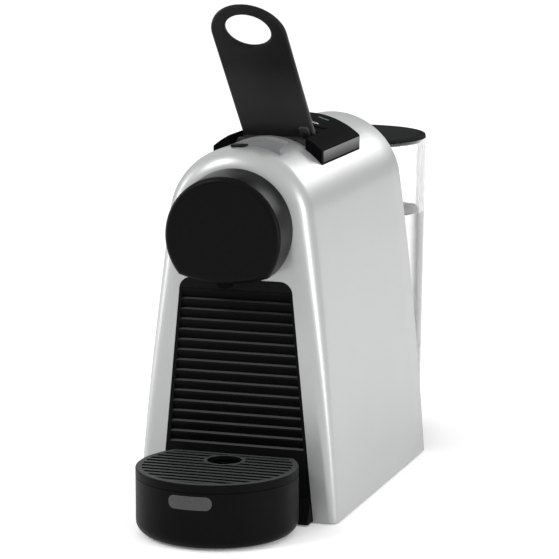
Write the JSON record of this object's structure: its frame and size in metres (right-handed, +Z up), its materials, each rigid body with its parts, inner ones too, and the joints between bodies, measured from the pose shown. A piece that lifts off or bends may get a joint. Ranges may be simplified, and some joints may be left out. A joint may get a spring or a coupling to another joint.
{
  "type": "pod coffee machine",
  "caption": "Narrow arched pod coffee machine: round outlet drum, lift-up lever, ribbed capsule drawer, round drip tray, clear water tank.",
  "frame": {"origin": "middle of the footprint's box, on the surface that the machine stands on, with the lever raised", "axes": "+Z up, -Y is the machine's front with the drip tray, +Y its rear with the water tank, +X its right side seen from the front"},
  "size_m": [0.1102, 0.325, 0.2675],
  "materials": {
    "silver_shell": "satin silver paint on plastic",
    "dark_plastic": "fine-grained black plastic",
    "frame_plastic": "glass-filled dark grey plastic",
    "matte_black": "matte black plastic",
    "tray_black": "satin black plastic",
    "lever_black": "satin black plastic",
    "gloss_black": "polished black plastic",
    "chute_grey": "smooth grey plastic",
    "badge_grey": "smooth dark plate, blank",
    "clear_plastic": "clear plastic",
    "rubber": "matte rubber",
    "silicone": "translucent silicone",
    "steel": "turned stainless steel",
    "pump_steel": "zinc plated steel",
    "cast_aluminium": "die-cast aluminium",
    "circuit_board": "green solder mask"
  },
  "bodies": {
    "housing": {"outer_shell": "silver_shell", "rear_cover": "dark_plastic", "cover_screws": "steel", "cord_gland": "rubber", "base_plate": "dark_plastic", "rubber_feet": "rubber", "base_screws": "steel", "chassis_right": "frame_plastic", "chassis_left": "frame_plastic", "top_insert": "gloss_black", "lever_axle": "steel", "capsule_chute": "chute_grey", "slot_tab": "matte_black", "injection_head": "frame_plastic", "head_seal": "silicone", "brew_frame": "frame_plastic", "hot_water_tube": "steel", "outlet_drum": "matte_black", "coffee_duct": "frame_plastic", "coffee_spout": "gloss_black", "front_bezel": "matte_black", "tank_dock": "frame_plastic", "control_board": "circuit_board", "tactile_switches": "dark_plastic", "power_board": "circuit_board", "pump": "pump_steel", "pump_mounts": "rubber", "thermoblock": "cast_aluminium", "thermostat": "steel", "heater_brackets": "frame_plastic", "flow_meter": "frame_plastic", "supply_hose": "silicone", "pump_hose": "silicone", "pressure_hose": "silicone"},
    "lever": {"lever_handle": "lever_black"},
    "carriage": {"extraction_plate": "frame_plastic", "carriage_pin": "steel", "piercing_screen": "steel"},
    "espresso_button": {"button_espresso": "gloss_black"},
    "lungo_button": {"button_lungo": "gloss_black"},
    "tank": {"water_tank": "clear_plastic", "tank_valve": "dark_plastic"},
    "lid": {"tank_lid": "matte_black"},
    "drawer": {"drawer_front": "matte_black", "capsule_bin": "dark_plastic", "tray_tongue": "dark_plastic"},
    "tray": {"drip_tray": "tray_black", "badge_plate": "badge_grey"},
    "grid": {"drip_grid": "tray_black"}
  },
  "joints": [
    {"name": "lever_hinge", "type": "hinge", "parent": "housing", "child": "lever", "pos_m": [0, -0.0266, 0.186], "axis": [1, 0, 0], "range_deg": [0, 49.4]},
    {"name": "carriage_slide", "type": "slide", "parent": "housing", "child": "carriage", "axis": [0, 1, 0], "range_m": [0, 0.0258]},
    {"name": "espresso_press", "type": "slide", "parent": "housing", "child": "espresso_button", "axis": [0, 0, -1], "range_m": [0, 0.0012], "stiffness_N_per_m": 600, "springref_m": -0.0008},
    {"name": "lungo_press", "type": "slide", "parent": "housing", "child": "lungo_button", "axis": [0, 0, -1], "range_m": [0, 0.0012], "stiffness_N_per_m": 600, "springref_m": -0.0008},
    {"name": "tank_lift", "type": "slide", "parent": "housing", "child": "tank", "axis": [0, 0, 1], "range_m": [0, 0.18]},
    {"name": "lid_lift", "type": "slide", "parent": "tank", "child": "lid", "axis": [0, 0, 1], "range_m": [0, 0.05]},
    {"name": "drawer_slide", "type": "slide", "parent": "housing", "child": "drawer", "axis": [0, -1, 0], "range_m": [0, 0.1]},
    {"name": "tray_slide", "type": "slide", "parent": "drawer", "child": "tray", "axis": [0, -1, 0], "range_m": [0, 0.06]},
    {"name": "grid_lift", "type": "slide", "parent": "tray", "child": "grid", "axis": [0, 0, 1], "range_m": [0, 0.03]}
  ],
  "couplings": [
    {"joint": "carriage_slide", "follows": "lever_hinge", "m_per_rad": 0.029874}
  ]
}
